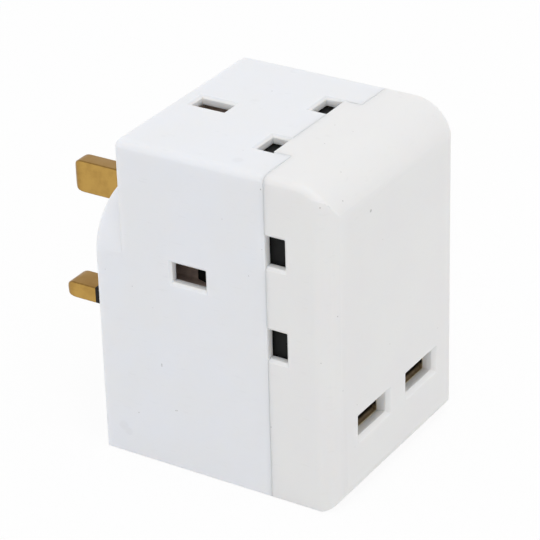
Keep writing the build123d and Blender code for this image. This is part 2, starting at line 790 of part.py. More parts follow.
# USB outlets
tongue_z = usb_height + usb_inner_height / 4
for socket_name, usb_x in usb_places.items():
    with BuildPart() as usb_shell:
        with BuildSketch(Plane.XZ.offset(-shell_front_y)):
            with Locations((usb_x, usb_height)):
                Rectangle(usb_opening_width, usb_opening_height)
                Rectangle(usb_inner_width, usb_inner_height, mode=Mode.SUBTRACT)
        extrude(amount=-usb_shell_length)
    save(usb_shell, f"{socket_name}_usb_shell")

    with BuildPart() as usb_tongue:
        with BuildSketch(Plane.XZ.offset(-shell_front_y - usb_shell_length)):
            with Locations((usb_x, usb_height)):
                Rectangle(usb_inner_width, usb_inner_height)
        extrude(amount=tongue_base)
        with BuildSketch(Plane.XZ.offset(-shell_front_y - usb_shell_length)):
            with Locations((usb_x, tongue_z)):
                Rectangle(tongue_width, tongue_thickness)
        extrude(amount=usb_shell_length - tongue_setback)
        chamfer(usb_tongue.faces().sort_by(Axis.Y)[0].edges(), usb_shell_wall)
    save(usb_tongue, f"{socket_name}_usb_tongue")

    with BuildPart() as usb_contacts:
        with BuildSketch(Plane.XZ.offset(-shell_front_y - usb_shell_length + tongue_base)):
            contact_z = tongue_z - tongue_thickness / 2 - contact_thickness / 2
            with Locations(*[(usb_x + offset, contact_z) for offset in contact_offsets]):
                Rectangle(contact_width, contact_thickness)
        extrude(amount=usb_shell_length - tongue_base - tongue_setback - 2 * usb_shell_wall)
    save(usb_contacts, f"{socket_name}_usb_contacts")

with BuildPart() as usb_board:
    board_front = shell_front_y + usb_shell_hold + board_clearance
    with BuildSketch(Plane.XY.offset(board_top)) as board_outline:
        with Locations((0, board_front)):
            board_width = 2 * (inner_half_width - board_clearance)
            Rectangle(board_width, board_rear - board_front, align=(Align.CENTER, Align.MIN))
        fillet(board_outline.vertices().group_by(Axis.Y)[0], left_corner_radius)
    extrude(amount=-board_thickness)
save(usb_board, "usb_board")

with BuildPart() as transformer_core:
    with BuildSketch(Plane.XZ.offset(-transformer_y)):
        with Locations((0, board_top + core_height / 2)):
            Rectangle(core_width, core_height)
            Rectangle(core_width - 2 * core_leg, core_height - 2 * core_leg, mode=Mode.SUBTRACT)
    extrude(amount=core_depth / 2, both=True)
save(transformer_core, "transformer_core")

with BuildPart() as transformer_winding:
    with BuildSketch(Plane.XY.offset(board_top + core_leg)):
        with Locations((0, transformer_y)):
            RectangleRounded(core_width - 2 * core_leg, winding_depth, winding_radius)
    extrude(amount=core_height - 2 * core_leg)
save(transformer_winding, "transformer_winding")

with BuildPart() as capacitors:
    with BuildSketch(Plane.XY.offset(board_top)):
        with Locations((-capacitor_x, transformer_y), (capacitor_x, transformer_y)):
            Circle(capacitor_radius)
    extrude(amount=capacitor_height)
    fillet(capacitors.edges().filter_by(GeomType.CIRCLE), usb_shell_wall)
save(capacitors, "capacitors")

with BuildPart() as driver_chip:
    with BuildSketch(Plane.XY.offset(board_top)):
        with Locations((capacitor_x, chip_y)):
            Rectangle(chip_length, chip_width)
    extrude(amount=chip_height)
    chamfer(driver_chip.faces().sort_by(Axis.Z)[-1].edges(), usb_shell_wall)
save(driver_chip, "driver_chip")
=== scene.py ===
"""The looks of the three-way mains adaptor: finishes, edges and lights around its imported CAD."""

import json
import math

import bmesh
import bpy
from mathutils import Matrix, Vector


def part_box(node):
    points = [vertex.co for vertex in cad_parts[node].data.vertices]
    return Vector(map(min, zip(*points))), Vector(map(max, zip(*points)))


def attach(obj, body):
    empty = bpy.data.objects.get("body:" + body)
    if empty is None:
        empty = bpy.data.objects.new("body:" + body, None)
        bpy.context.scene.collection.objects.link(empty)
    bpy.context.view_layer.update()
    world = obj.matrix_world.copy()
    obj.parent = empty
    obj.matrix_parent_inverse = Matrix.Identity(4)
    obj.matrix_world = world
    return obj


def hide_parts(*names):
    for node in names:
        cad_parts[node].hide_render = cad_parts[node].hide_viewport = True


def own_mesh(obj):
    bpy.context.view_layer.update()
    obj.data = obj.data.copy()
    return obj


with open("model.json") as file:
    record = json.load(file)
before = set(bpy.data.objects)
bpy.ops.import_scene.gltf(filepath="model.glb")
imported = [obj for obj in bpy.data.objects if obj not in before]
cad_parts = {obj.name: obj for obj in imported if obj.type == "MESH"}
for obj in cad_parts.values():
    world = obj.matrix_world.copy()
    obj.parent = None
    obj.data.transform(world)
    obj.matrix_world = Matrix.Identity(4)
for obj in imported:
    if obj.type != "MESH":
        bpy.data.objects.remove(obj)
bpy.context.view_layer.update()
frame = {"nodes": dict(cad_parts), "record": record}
scene = bpy.context.scene

MM = 0.001
MM_PER_METRE = 1000.0


# ---------------------------------------------------------------- places and sizes, in millimetres

def box_of(name):
    """A node's box in millimetres, as its low and high corner."""
    low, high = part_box(name)
    return Vector(low) * MM_PER_METRE, Vector(high) * MM_PER_METRE


COVER_LOW, COVER_HIGH = box_of("front_cover")
FRONT_FACE = COVER_LOW.y
SIDE_FACE = COVER_HIGH.x
TOP_FACE = COVER_HIGH.z

# Wells: the bevelled walls of the sockets and USB mouths, round what stands behind them, where
# painted light lightens the white
WELL_DEPTH = 6.0
WELL_MARGIN = 2.2
WELL_START = 0.1
WELL_FADE = 0.6
WELL_END_FADE = 1.0
USB_BEVEL = 0.9
USB_BEVEL_FADE = 0.4

# Edges of the mouldings, in metres
EDGE_WIDTH = 0.00014
EDGE_SEGMENTS = 2
EDGE_ANGLE = math.radians(32)
WELD = 0.000002

PIN_EDGE = 0.22
PIN_HEAD_MARGIN = 1.3
PIN_HEAD_DEPTH = 2.0
PIN_NECK = 0.6
PIN_TIP = 2.5
PIN_TIP_DROP = 1.85
PIN_TIP_BEVEL = 0.9
PIN_TIP_STEPS = 6
# Painted shade on a pin: a dark band along its edges and a darker tip, with outlines that wander a
# little
PIN_BAND_WIDE, PIN_BAND_TALL, PIN_BAND_PAST = 0.26, 0.30, 0.04
PIN_BAND_WANDER = 0.12
PIN_TIP_SHADE_REACH, PIN_TIP_SHADE_PAST = 2.4, 0.3
PIN_TIP_SHADE_WANDER = 0.9

SHELL_LOW, SHELL_HIGH = box_of("left_usb_shell")
SHELL_FRONT = SHELL_LOW.y
SHELL_MIDDLE = (SHELL_LOW.z + SHELL_HIGH.z) / 2
SHELL_CORNER = 0.45
SHELL_FLARE = 0.45
LEAF_ROWS = 8
LEAF_LONG, LEAF_HIGH, LEAF_RISE = 6.5, 1.5, 0.32
LEAF_GAP = 3.0
LEAF_BOW = 1.15
SIDE_LEAF_START, FLOOR_LEAF_START = 0.9, 1.6
FLOOR_LEAF_WIDENING = 1.4
# Moulding under each shell, whose inner edge drops to meet the shell's flare
FLOOR_EASED_FROM, FLOOR_EASED_TO = 0.5, 2.0
FLOOR_EASED_BY = 0.75
FLOOR_CATCH = 0.1


# ---------------------------------------------------------------- colours

def srgb(red, green, blue):
    """A colour given on the 0-255 scale of a screen, as the shader's linear values."""
    def linear(level):
        level /= 255.0
        return level / 12.92 if level <= 0.04045 else ((level + 0.055) / 1.055) ** 2.4
    return (linear(red), linear(green), linear(blue), 1.0)


REAR_WHITE = srgb(236, 238, 243)
COVER_WHITE = srgb(237, 237, 236)
CARRIER_WHITE = srgb(233, 235, 238)
INNER_CREAM = srgb(214, 210, 200)
# Painted light: a paler white for the walls inside the sockets and USB mouths, standing in for
# light that reaches into them
WELL_PAINTED_LIGHT = srgb(249, 248, 247)
SHUTTER_BLACK = srgb(9, 10, 10)
SLEEVE_BLACK = srgb(24, 20, 18)
BRASS = srgb(191, 153, 82)
BRASS_DARK = srgb(150, 113, 58)
# Painted shade for a pin's faces turned up
BRASS_TOP_SHADE = srgb(155, 121, 66)
# Painted shade along a pin's edges, and the tarnish in its pits
BRASS_EDGE_SHADE_AND_TARNISH = srgb(112, 84, 44)
STRIP_BRASS = srgb(205, 172, 104)
NICKEL = srgb(196, 194, 188)
CERAMIC = srgb(226, 220, 206)
# Painted light in a USB shell: a highlight on its lip, then shade further in, and deep shade
SHELL_LIP_HIGHLIGHT = srgb(214, 205, 180)
SHELL_SHADE = srgb(150, 128, 94)
SHELL_DEEP_SHADE = srgb(22, 17, 13)
EARTH_TIN = srgb(186, 164, 152)
TONGUE_BLACK = srgb(24, 20, 17)
GOLD = srgb(214, 178, 96)
BOARD_GREEN = srgb(38, 84, 52)
FERRITE_GREY = srgb(62, 60, 60)
TAPE_YELLOW = srgb(206, 176, 74)
CAN_BLACK = srgb(36, 38, 46)
CHIP_BLACK = srgb(30, 30, 32)
SPRING_STEEL = srgb(186, 186, 188)
SCREW_STEEL = srgb(170, 168, 166)
DIRT = srgb(74, 62, 52)
PALE_FLOOR = srgb(250, 250, 250)
PALE_FLOOR_MOTTLE = srgb(247, 247, 248)


# ---------------------------------------------------------------- shader maths

class Level:
    """A value in a finish. Arithmetic on it adds Math nodes."""

    def __init__(self, finish, socket):
        self.finish = finish
        self.socket = socket

    def maths(self, operation, first, second):
        return self.finish.node("Math", {"operation": operation}, {0: first, 1: second}).out()

    def __add__(self, other):
        return self.maths("ADD", self, other)

    def __radd__(self, other):
        return self.maths("ADD", other, self)

    def __sub__(self, other):
        return self.maths("SUBTRACT", self, other)

    def __rsub__(self, other):
        return self.maths("SUBTRACT", other, self)

    def __mul__(self, other):
        return self.maths("MULTIPLY", self, other)

    def at_least(self, other):
        return self.maths("MAXIMUM", self, other)


class Node:
    """A node of a finish, whose outputs are taken by name."""

    def __init__(self, finish, made):
        self.finish = finish
        self.made = made

    def out(self, name=0):
        return Level(self.finish, self.made.outputs[name])


class Finish:
    """The nodes of one material, or of the world."""

    def __init__(self, owner):
        self.owner = owner
        owner.use_nodes = True
        self.tree = owner.node_tree
        self.tree.nodes.clear()

    def node(self, kind, settings, inputs):
        made = self.tree.nodes.new("ShaderNode" + kind)
        for key, value in settings.items():
            setattr(made, key, value)
        for name, value in inputs.items():
            if isinstance(value, Level):
                self.tree.links.new(value.socket, made.inputs[name])
            else:
                made.inputs[name].default_value = value
        return Node(self, made)

    def place(self):
        """Where a point is on the object, in millimetres."""
        spot = self.node("TexCoord", {}, {}).out("Object")
        return self.scaled(spot, MM_PER_METRE)

    def scaled(self, vector, factor):
        return self.node("VectorMath", {"operation": "SCALE"}, {0: vector, "Scale": factor}).out()

    def stretched(self, vector, factors):
        return self.node("VectorMath", {"operation": "MULTIPLY"}, {0: vector, 1: factors}).out()

    def moved(self, vector, shift):
        return self.node("VectorMath", {"operation": "ADD"}, {0: vector, 1: shift}).out()

    def distance(self, where, place):
        return self.node("VectorMath", {"operation": "DISTANCE"}, {0: where, 1: place}).out("Value")

    def noise(self, where, size, detail=3.0, roughness=0.5):
        """Smooth noise around 0.5; size is its rough grain in millimetres."""
        inputs = {"Vector": where, "Scale": 1.0 / size, "Detail": detail, "Roughness": roughness}
        return self.node("TexNoise", {}, inputs).out("Fac")

    def spread(self, level, low, high, to_low=0.0, to_high=1.0):
        """A level mapped from one range to another and kept inside it."""
        inputs = {
            "Value": level, "From Min": low, "From Max": high, "To Min": to_low, "To Max": to_high,
        }
        return self.node("MapRange", {"interpolation_type": "SMOOTHSTEP"}, inputs).out()

    def mix(self, share, first, second):
        """A colour between two others; 6, 7 and 2 are the node's sockets for colours."""
        return self.node("Mix", {"data_type": "RGBA"}, {0: share, 6: first, 7: second}).out(2)

    def bump(self, height, strength, distance):
        inputs = {"Height": height, "Strength": strength, "Distance": distance}
        return self.node("Bump", {}, inputs).out()

    def ragged(self, where, reach):
        """Places moved about by up to half of reach, so that a round spot loses its outline."""
        noise = self.node("TexNoise", {}, {"Vector": where, "Scale": 3.0, "Detail": 2.0})
        moved = self.moved(where, self.scaled(noise.out("Color"), reach))
        return self.moved(moved, (-reach / 2,) * 3)

    def near(self, where, spots):
        """1 at the middle of each round spot of (x, y, z, radius), falling to 0 at its edge."""
        total = None
        for x, y, z, radius in spots:
            gap = self.distance(where, (x, y, z))
            mark = self.spread(gap, radius * SPOT_CORE, radius, to_low=1.0, to_high=0.0)
            total = mark if total is None else total.at_least(mark)
        return total

    def magnitude(self, level):
        return self.node("Math", {"operation": "ABSOLUTE"}, {0: level}).out()

    def seen_directly(self):
        """1 for the camera and for what shows in gloss and glass, 0 for light on the object."""
        path = self.node("LightPath", {}, {})
        seen = path.out("Is Camera Ray").at_least(path.out("Is Glossy Ray"))
        return seen.at_least(path.out("Is Transmission Ray"))

    def ended(self, surface, kind="OutputMaterial"):
        """The material or world, showing this surface."""
        self.node(kind, {}, {"Surface": surface})
        return self.owner

    def surface(self, sockets):
        """The Principled surface with these sockets, as the whole material."""
        return self.ended(self.node("BsdfPrincipled", {}, sockets).out())


def new_finish(name):
    return Finish(bpy.data.materials.new(name))


# ---------------------------------------------------------------- finishes

# Dirt seen on the body: places in millimetres on its surface, and a radius
SPECKS = [
    (-10.8, -27.1, 67.5, 0.42), (-26.2, 17.3, 25.9, 0.20), (-26.2, 17.3, 25.5, 0.20),
    (-26.2, 18.9, 39.6, 0.14), (-26.2, 24.1, 43.6, 0.14), (-26.2, 31.1, 46.0, 0.14),
    (-26.2, -9.8, 75.0, 0.20), (-25.8, -23.8, 73.9, 0.18), (-19.9, -25.7, 73.4, 0.20),
    (-23.6, -26.3, 48.3, 0.15), (-26.2, -6.2, 53.9, 0.14), (-26.2, -9.7, 61.0, 0.13),
    (-26.2, 0.0, 65.8, 0.13), (-26.2, 24.2, 11.6, 0.18), (-26.2, 14.1, 15.0, 0.18),
    (-26.2, 13.7, 15.1, 0.16), (-26.2, -10.7, 18.1, 0.17), (-3.0, -27.1, 31.8, 0.17),
    (-17.4, -27.1, 23.9, 0.15), (-22.7, -26.8, 30.0, 0.14), (-25.9, -23.4, 37.4, 0.13),
    (-5.8, -27.1, 58.6, 0.13), (-18.5, -27.1, 13.9, 0.14), (18.9, -27.1, 25.1, 0.14),
    (11.7, 10.7, 78.0, 0.17), (-6.2, -13.4, 78.0, 0.18), (2.9, -10.5, 78.0, 0.14),
    (1.9, -15.6, 78.0, 0.14), (-14.4, -22.1, 76.8, 0.14), (-17.2, 0.0, 78.0, 0.13),
]
SMUDGES = [(-26.2, 28.5, 7.0, 1.6), (-26.2, 27.2, 5.8, 1.3), (-21.8, -1.6, 78.0, 1.5)]
SPOT_CORE = 0.55
SPOT_RAGGED = 0.22
SPECK_STRENGTH = 0.42
SMUDGE_STRENGTH = 0.04


def opening_area(side):
    """The box round one side's three contact clips, which is where its openings are."""
    boxes = [box_of(f"{side}_{kind}_clip") for kind in ("live", "neutral", "earth")]
    low = Vector(min(box[0][axis] for box in boxes) for axis in range(3))
    high = Vector(max(box[1][axis] for box in boxes) for axis in range(3))
    return low, high


def well_light_mask(made, where):
    """1 on the walls of the sockets and USB mouths, where a paler white is painted in as light
    reaching into them.
    """
    axes = made.node("SeparateXYZ", {}, {0: where})
    x, y, z = axes.out("X"), axes.out("Y"), axes.out("Z")

    def within(level, low, high):
        reach = (high - low) / 2 + WELL_MARGIN
        gap = made.magnitude(level - (low + high) / 2)
        return made.spread(gap, reach, reach + WELL_FADE, to_low=1.0, to_high=0.0)

    low, high = opening_area("left")
    sides = made.spread(
        made.magnitude(x), SIDE_FACE - WELL_FADE, SIDE_FACE - WELL_START, to_low=1.0, to_high=0.0)
    sides = sides * within(y, low.y, high.y) * within(z, low.z, high.z)
    low, high = opening_area("top")
    top = made.spread(z, TOP_FACE - WELL_FADE, TOP_FACE - WELL_START, to_low=1.0, to_high=0.0)
    deepest = TOP_FACE - WELL_DEPTH
    top = top * made.spread(z, deepest - WELL_END_FADE, deepest)
    top = top * within(x, low.x, high.x) * within(y, low.y, high.y)
    right_end = box_of("right_usb_shell")[1].x
    bevel_end = FRONT_FACE + USB_BEVEL
    deepest = FRONT_FACE + WELL_DEPTH
    front = made.spread(y, bevel_end, bevel_end + USB_BEVEL_FADE)
    front = front * made.spread(y, deepest, deepest + WELL_END_FADE, to_low=1.0, to_high=0.0)
    front = front * within(x, SHELL_LOW.x, right_end) * within(z, SHELL_LOW.z, SHELL_HIGH.z)
    return sides.at_least(top).at_least(front)


def moulded_white(name, colour, warm, specks):
    """Glossy white housing plastic: faint clouding, fine orange peel, hairline scuffs and dirt, and
    painted light on the walls inside the sockets and USB mouths.
    """
    made = new_finish(name)
    where = made.place()
    cloud = made.spread(made.noise(where, size=14.0, detail=2.0), 0.3, 0.7)
    grain = made.noise(where, size=0.16, detail=2.0)
    peel = made.noise(where, size=1.1, detail=1.0)
    brushed = made.stretched(where, (0.35, 0.2, 1.6))
    scratches = made.noise(brushed, size=0.9, detail=4.0, roughness=0.62)
    scuff = made.spread(scratches, 0.60, 0.72)
    tone = made.mix(cloud * 0.35, colour, warm)
    tone = made.mix(scuff * 0.03, tone, DIRT)
    # Painted light: the walls inside the sockets and USB mouths are lightened
    tone = made.mix(well_light_mask(made, where), tone, WELL_PAINTED_LIGHT)
    ragged = made.ragged(where, SPOT_RAGGED)
    if specks:
        tone = made.mix(made.near(ragged, specks) * SPECK_STRENGTH, tone, DIRT)
    tone = made.mix(made.near(ragged, SMUDGES) * SMUDGE_STRENGTH, tone, DIRT)
    return made.surface({
        "Base Color": tone,
        "Roughness": 0.34 + cloud * 0.05 + scuff * 0.12,
        "IOR": 1.49,
        "Subsurface Weight": 0.7,
        "Subsurface Radius": (1.0, 0.92, 0.85),
        "Subsurface Scale": 0.0016,
        "Normal": made.bump(grain * 0.4 + peel, strength=0.10, distance=0.00006),
    })


def dark_moulding(name, colour, pale, roughness):
    """Black or dark plastic with a faint sheen of dust."""
    made = new_finish(name)
    where = made.place()
    dust = made.spread(made.noise(where, size=1.6, detail=4.0, roughness=0.6), 0.42, 0.75)
    fine = made.noise(where, size=0.12, detail=2.0)
    return made.surface({
        "Base Color": made.mix(dust * 0.25, colour, pale),
        "Roughness": roughness + dust * 0.12,
        "IOR": 1.5,
        "Specular IOR Level": 0.2,
        "Normal": made.bump(fine, strength=0.25, distance=0.00004),
    })


def drawn_metal(name, colour, dark, along, roughness, wear):
    """Metal strip with draw lines along one axis, tarnish in clouds and small pits."""
    made = new_finish(name)
    where = made.place()
    stretch = [1.0, 1.0, 1.0]
    stretch["xyz".index(along)] = 0.06
    lines = made.noise(made.stretched(where, stretch), size=0.22, detail=5.0, roughness=0.6)
    clouds = made.spread(made.noise(where, size=4.5, detail=4.0, roughness=0.6), 0.38, 0.68)
    pits = made.spread(made.noise(where, size=0.35, detail=3.0, roughness=0.7), 0.62, 0.72)
    tone = made.mix(clouds * wear, colour, dark)
    tone = made.mix(made.spread(lines, 0.4, 0.7) * 0.25, tone, dark)
    tone = made.mix(pits * wear * 0.6, tone, dark)
    return made.surface({
        "Base Color": tone,
        "Metallic": 1.0,
        "Roughness": roughness + clouds * 0.10 + lines * 0.12,
        "Normal": made.bump(lines + pits * -0.5, strength=0.22, distance=0.00005),
    })


def pin_brass_with_painted_shade(name, node):
    """A pin's brass: golden sides, clouds and pits of tarnish, and painted shade: browner on faces
    turned up, darker round its tip, and dark along its edges.
    """
    made = new_finish(name)
    where = made.place()
    low, high = box_of(node)
    middle = (low + high) / 2
    half = (high - low) / 2
    axes = made.node("SeparateXYZ", {}, {0: where})
    across = made.magnitude(axes.out("X") - middle.x)
    upright = made.magnitude(axes.out("Z") - middle.z)
    wide, tall = half.x - PIN_HEAD_MARGIN, half.z - PIN_HEAD_MARGIN
    wander = made.noise(where, size=0.8, detail=3.0)
    # Painted shade: a dark band along the pin's long edges
    edge = made.spread(
        across + wander * PIN_BAND_WANDER, wide - PIN_BAND_WIDE, wide + PIN_BAND_PAST)
    edge = edge * made.spread(
        upright + wander * PIN_BAND_WANDER, tall - PIN_BAND_TALL, tall + PIN_BAND_PAST)
    # Painted shade: darker towards the pin's tip
    tip = made.spread(
        axes.out("Y") + wander * PIN_TIP_SHADE_WANDER, high.y - PIN_TIP_SHADE_REACH, high.y + PIN_TIP_SHADE_PAST)
    # Painted shade: faces turned up are browner
    facing = made.node("NewGeometry", {}, {}).out("True Normal")
    facing_up_shade = made.spread(made.node("SeparateXYZ", {}, {0: facing}).out("Z"), 0.45, 0.8)
    lines = made.noise(made.stretched(where, (1.0, 0.05, 1.0)), size=0.3, detail=4.0, roughness=0.6)
    clouds = made.spread(made.noise(where, size=3.2, detail=4.0, roughness=0.6), 0.36, 0.70)
    pits = made.spread(made.noise(where, size=0.4, detail=3.0, roughness=0.7), 0.63, 0.74)
    tone = made.mix(clouds * 0.35, BRASS, BRASS_DARK)
    # Painted shade on faces turned up, round the tip and along the edges; the pits are tarnish
    tone = made.mix(facing_up_shade * 0.9, tone, BRASS_TOP_SHADE)
    tone = made.mix(tip * 0.75, tone, BRASS_DARK)
    tone = made.mix(edge * 0.85 + pits * 0.2, tone, BRASS_EDGE_SHADE_AND_TARNISH)
    return made.surface({
        "Base Color": tone,
        "Metallic": 1.0,
        "Roughness": 0.30 + clouds * 0.10 + facing_up_shade * 0.08,
        "Normal": made.bump(lines + pits * -0.4, strength=0.10, distance=0.00005),
    })


def plain_part(name, colour, other, size, roughness, metallic=0.0):
    """A small inner part: its colour clouded towards another, with a fine grain."""
    made = new_finish(name)
    where = made.place()
    cloud = made.spread(made.noise(where, size=size, detail=4.0, roughness=0.6), 0.35, 0.7)
    grain = made.noise(where, size=size * 0.08, detail=2.0)
    return made.surface({
        "Base Color": made.mix(cloud * 0.5, colour, other),
        "Metallic": metallic,
        "Roughness": roughness + cloud * 0.08,
        "Normal": made.bump(grain, strength=0.2, distance=0.00005),
    })


def plated_shell(name):
    """A USB shell's plating: a painted highlight on its rolled lip, and painted shade, brown and
    then dark, further in and higher than its floor, where it is also rougher than the lip.
    """
    made = new_finish(name)
    where = made.place()
    axes = made.node("SeparateXYZ", {}, {0: where})
    depth = axes.out("Y") - SHELL_FRONT
    cloud = made.spread(made.noise(where, size=1.6, detail=4.0, roughness=0.6), 0.35, 0.7)
    # Painted shade: browner and then dark further into the shell, and dark higher than its floor
    tone = made.mix(made.spread(depth, 0.0, 1.6), SHELL_SHADE, SHELL_DEEP_SHADE)
    above_floor = made.spread(axes.out("Z"), SHELL_MIDDLE - 2.1, SHELL_MIDDLE - 1.1)
    tone = made.mix(above_floor, tone, SHELL_DEEP_SHADE)
    tone = made.mix(cloud * 0.3, tone, SHELL_DEEP_SHADE)
    # Painted highlight on the rolled lip
    lip = made.spread(depth, 0.05, 0.2, to_low=1.0, to_high=0.0)
    grain = made.noise(where, size=0.15, detail=2.0)
    return made.surface({
        "Base Color": made.mix(lip, tone, SHELL_LIP_HIGHLIGHT),
        "Metallic": 0.05 + lip * 0.6,
        "Roughness": 0.5 - lip * 0.16 + cloud * 0.08,
        "Specular IOR Level": 0.2,
        "Normal": made.bump(grain, strength=0.2, distance=0.00004),
    })


finishes = {
    "rear_white": moulded_white("rear_moulding", REAR_WHITE, COVER_WHITE, SPECKS),
    "cover_white": moulded_white("cover_moulding", COVER_WHITE, srgb(236, 234, 236), SPECKS),
    "carrier_white": moulded_white("carrier_moulding", CARRIER_WHITE, COVER_WHITE, []),
    "inner_plastic": plain_part(
        "inner_plastic", INNER_CREAM, srgb(196, 190, 176), size=5.0, roughness=0.5),
    "shutter_black": dark_moulding(
        "shutter_moulding", SHUTTER_BLACK, srgb(24, 24, 24), roughness=0.5),
    "sleeve_black": dark_moulding("sleeve_moulding", SLEEVE_BLACK, srgb(48, 42, 38), roughness=0.5),
    "pin_brass": drawn_metal("pin_brass", BRASS, BRASS_DARK, along="y", roughness=0.26, wear=0.5),
    "contact_brass": drawn_metal(
        "strip_brass", STRIP_BRASS, BRASS_DARK, along="z", roughness=0.30, wear=0.4),
    "fuse_metal": plain_part(
        "fuse_cap_metal", NICKEL, srgb(150, 148, 142), size=2.0, roughness=0.28, metallic=1.0),
    "fuse_ceramic": plain_part(
        "fuse_ceramic", CERAMIC, srgb(206, 198, 180), size=3.0, roughness=0.5),
    "earth_tin": plain_part(
        "earth_strip", EARTH_TIN, srgb(150, 134, 126), size=2.4, roughness=0.55, metallic=0.1),
    "shell_steel": plated_shell("shell_metal"),
    "tongue_plastic": dark_moulding(
        "tongue_moulding", TONGUE_BLACK, srgb(52, 46, 40), roughness=0.5),
    "contact_gold": plain_part(
        "contact_gold", GOLD, srgb(176, 140, 70), size=0.8, roughness=0.25, metallic=1.0),
    "board_green": plain_part(
        "board_laminate", BOARD_GREEN, srgb(52, 104, 62), size=2.0, roughness=0.4),
    "ferrite": plain_part("ferrite", FERRITE_GREY, srgb(84, 80, 78), size=1.2, roughness=0.7),
    "winding_tape": plain_part(
        "winding_tape", TAPE_YELLOW, srgb(186, 150, 56), size=2.4, roughness=0.36),
    "capacitor_can": plain_part(
        "capacitor_sleeve", CAN_BLACK, srgb(58, 60, 70), size=2.0, roughness=0.35),
    "chip_black": plain_part("chip_resin", CHIP_BLACK, srgb(48, 48, 50), size=0.8, roughness=0.6),
    "spring_steel": plain_part(
        "spring_wire", SPRING_STEEL, srgb(130, 130, 132), size=0.6, roughness=0.3, metallic=1.0),
    "screw_steel": plain_part(
        "screw_steel", SCREW_STEEL, srgb(120, 118, 116), size=1.0, roughness=0.34, metallic=1.0),
}
slot_of_node = {part["node"]: part["material_slot"] for part in frame["record"]["subparts"]}
for node_name, node in frame["nodes"].items():
    node.data.materials.clear()
    node.data.materials.append(finishes[slot_of_node[node_name]])


# ---------------------------------------------------------------- pieces in place of plain nodes

def piece_of(shape, piece_name, material):
    """A bmesh shape as a piece in the scene."""
    mesh = bpy.data.meshes.new(piece_name)
    shape.to_mesh(mesh)
    shape.free()
    mesh.materials.append(material)
    piece = bpy.data.objects.new(piece_name, mesh)
    scene.collection.objects.link(piece)
    return piece


def stands_for(piece, name):
    """Shows a piece where a node is, hiding the node, on the adaptor's body."""
    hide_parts(name)
    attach(piece, "adaptor")


def flat_faces_first(piece):
    """Smooth shading in which the large faces stay flat and only the small ones round off."""
    for face in piece.data.polygons:
        face.use_smooth = True
    shading = piece.modifiers.new("flat_faces_first", "WEIGHTED_NORMAL")
    shading.mode = "FACE_AREA"
    shading.weight = 100


def skinned(shape, rings):
    """Faces between one ring of corners and the next."""
    for first, second in zip(rings, rings[1:]):
        for place in range(len(first)):
            after = (place + 1) % len(first)
            shape.faces.new((first[place], first[after], second[after], second[place]))


def in_metres(shape):
    """A shape made in millimetres, with its faces turned outwards and in the scene's metres."""
    bmesh.ops.recalc_face_normals(shape, faces=shape.faces)
    bmesh.ops.scale(shape, vec=(MM, MM, MM), verts=shape.verts)


# ---------------------------------------------------------------- edges of the mouldings

def softened(name, piece_name, eased=()):
    """A node's shape again with its sharp edges just broken, shown in place of the plain one.

    Corners inside an eased box (low, high, shift), in millimetres, move by its shift first.
    """
    shape = bmesh.new()
    shape.from_mesh(frame["nodes"][name].data)
    bmesh.ops.remove_doubles(shape, verts=shape.verts, dist=WELD)
    for low, high, shift in eased:
        for corner in shape.verts:
            place = corner.co * MM_PER_METRE
            if all(low[axis] <= place[axis] <= high[axis] for axis in range(3)):
                corner.co += Vector(shift) * MM
    piece = piece_of(shape, piece_name, finishes[slot_of_node[name]])
    bevel = piece.modifiers.new("broken_edges", "BEVEL")
    bevel.width = EDGE_WIDTH
    bevel.segments = EDGE_SEGMENTS
    bevel.limit_method = "ANGLE"
    bevel.angle_limit = EDGE_ANGLE
    bevel.use_clamp_overlap = False
    bevel.miter_outer = "MITER_ARC"
    flat_faces_first(piece)
    stands_for(piece, name)


def eased_floor(shell_name):
    """The inner edge of the moulding under a USB shell, which drops a little."""
    low, high = box_of(shell_name)
    start = (low.x - FLOOR_CATCH, low.y + FLOOR_EASED_FROM, low.z - FLOOR_CATCH)
    end = (high.x + FLOOR_CATCH, low.y + FLOOR_EASED_TO, low.z + FLOOR_CATCH)
    return start, end, (0.0, 0.0, -FLOOR_EASED_BY)


usb_floors = [eased_floor("left_usb_shell"), eased_floor("right_usb_shell")]
softened("front_cover", "front_cover_shell", usb_floors)
softened("rear_housing", "rear_housing_shell")


# ---------------------------------------------------------------- pins

def pin_ring(shape, middle, half_x, half_z, y):
    """Eight corners of a pin's section, with its edges just rubbed off."""
    cut = min(PIN_EDGE, half_z * 0.6)
    places = [
        (half_x - cut, -half_z), (half_x, cut - half_z),
        (half_x, half_z - cut), (half_x - cut, half_z),
        (cut - half_x, half_z), (-half_x, half_z - cut),
        (-half_x, cut - half_z), (cut - half_x, -half_z),
    ]
    return [shape.verts.new((middle.x + x, y, middle.z + z)) for x, z in places]


